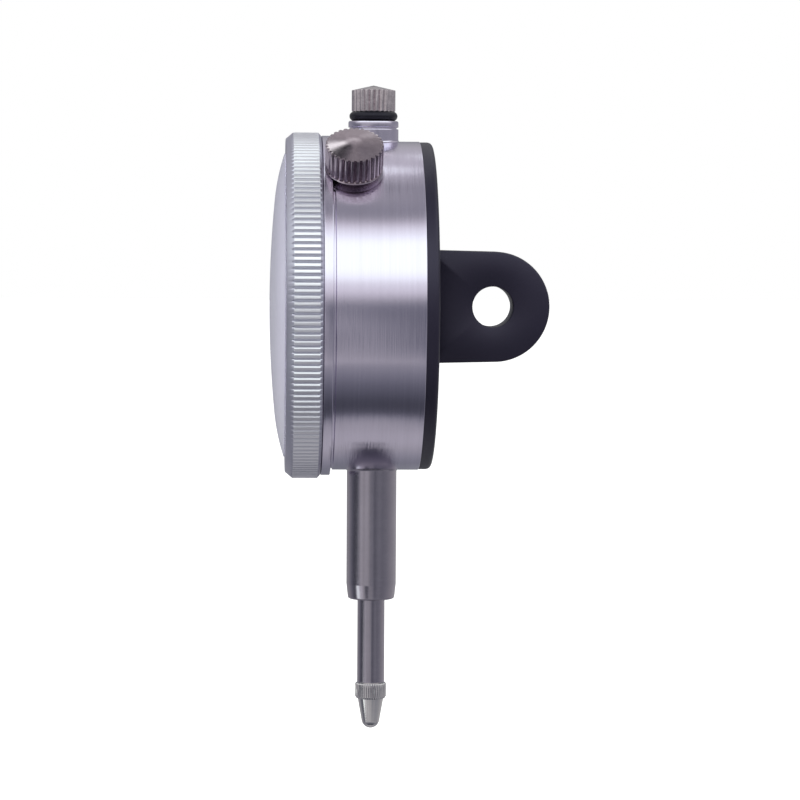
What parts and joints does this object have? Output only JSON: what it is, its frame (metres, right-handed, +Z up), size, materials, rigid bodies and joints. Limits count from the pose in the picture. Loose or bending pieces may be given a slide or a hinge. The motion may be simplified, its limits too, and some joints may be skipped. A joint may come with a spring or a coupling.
{
  "type": "dial indicator",
  "caption": "Plunger dial indicator with a knurled rotating bezel, domed crystal, clamping stem, lug back, bezel clamp and geared pointer train.",
  "frame": {"origin": "on the spindle axis, half way along the clamping length of the stem", "axes": "+Z up along the spindle, away from the contact point; the dial faces -Y and the lug points to +Y; the bezel clamp is on the +X side"},
  "size_m": [0.0552, 0.0447, 0.1033],
  "materials": {
    "satin_nickel": "satin, brushed round the barrel",
    "bezel_aluminium": "satin, knurled rim",
    "acrylic": "clear moulded acrylic",
    "black_plastic": "fine matte moulding",
    "stem_steel": "ground steel",
    "bright_steel": "polished hardened steel",
    "plated_knurl": "nickel plated knurled steel",
    "black_rubber": "smooth rubber",
    "bronze": "machined",
    "brass_gear": "machined and cut",
    "brass_plate": "fine ground plate",
    "movement_steel": "turned steel",
    "spring_steel": "drawn wire and strip",
    "dial_paint": "matte white dial paint",
    "spacer_plastic": "plain moulding",
    "black_paint": "matte black paint"
  },
  "bodies": {
    "housing": {"case": "satin_nickel", "back_cover": "black_plastic", "cover_screws": "plated_knurl", "stem": "stem_steel", "stem_bush": "bronze", "upper_sleeve": "satin_nickel", "front_plate": "brass_plate", "rear_plate": "brass_plate", "plate_pillars": "movement_steel", "plate_screws": "movement_steel", "movement_screws": "movement_steel", "cock_screws": "movement_steel", "guide_screws": "movement_steel", "centre_cock": "brass_plate", "bearing_bushes": "bronze", "guide_rail": "brass_plate", "spring_post": "movement_steel", "hairspring_stud": "movement_steel", "hairspring": "spring_steel", "return_spring": "spring_steel", "bezel_snap_wire": "spring_steel", "dial_plate": "dial_paint", "dial_screws": "movement_steel"},
    "measuring_spindle": {"spindle": "stem_steel", "guide_pin": "movement_steel", "lifting_cap": "plated_knurl", "bumper_ring": "black_rubber", "contact_point": "bright_steel"},
    "bezel": {"bezel_ring": "bezel_aluminium", "crystal": "acrylic", "crystal_spacer": "spacer_plastic", "dial_ring": "dial_paint"},
    "rack_gear": {"rack_pinion": "movement_steel", "transfer_wheel": "brass_gear"},
    "pointer_train": {"centre_pinion": "movement_steel", "pointer": "black_paint"},
    "counter_train": {"counter_arbor": "movement_steel", "counter_wheel": "brass_gear", "counter_hand": "black_paint", "hairspring_collet": "brass_gear"},
    "clamp_screw": {"clamp_knob": "plated_knurl"},
    "clamp_nut": {"clamp_shoe": "movement_steel"}
  },
  "joints": [
    {"name": "spindle_travel", "type": "slide", "parent": "housing", "child": "measuring_spindle", "axis": [0, 0, 1], "range_m": [0, 0.01], "stiffness_N_per_m": 60, "springref_m": -0.015, "deforming": ["return_spring"]},
    {"name": "bezel_turn", "type": "hinge", "parent": "housing", "child": "bezel", "pos_m": [0, -0.011, 0.036], "axis": [0, 1, 0], "continuous": true},
    {"name": "clamp_screw_turn", "type": "hinge", "parent": "housing", "child": "clamp_screw", "pos_m": [0.01685, -0.0036, 0.05836], "axis": [-0.6018, 0, -0.7986], "range_deg": [0, 270]},
    {"name": "clamp_nut_slide", "type": "slide", "parent": "housing", "child": "clamp_nut", "axis": [0.6018, 0, 0.7986], "range_m": [0, 0.000375]},
    {"name": "rack_gear_turn", "type": "hinge", "parent": "housing", "child": "rack_gear", "pos_m": [-0.00334, 0, 0.04642], "axis": [0, 1, 0], "range_deg": [-360, 0]},
    {"name": "pointer_turn", "type": "hinge", "parent": "housing", "child": "pointer_train", "pos_m": [0, 0, 0.036], "axis": [0, 1, 0], "range_deg": [0, 3600]},
    {"name": "counter_turn", "type": "hinge", "parent": "housing", "child": "counter_train", "pos_m": [-0.01, 0, 0.03156], "axis": [0, 1, 0], "range_deg": [-360, 0]}
  ],
  "couplings": [
    {"joint": "rack_gear_turn", "follows": "spindle_travel", "rad_per_m": -628.32},
    {"joint": "pointer_turn", "follows": "spindle_travel", "rad_per_m": 6283.2},
    {"joint": "counter_turn", "follows": "spindle_travel", "rad_per_m": -628.32},
    {"joint": "clamp_nut_slide", "follows": "clamp_screw_turn", "m_per_rad": 0.000079577}
  ]
}
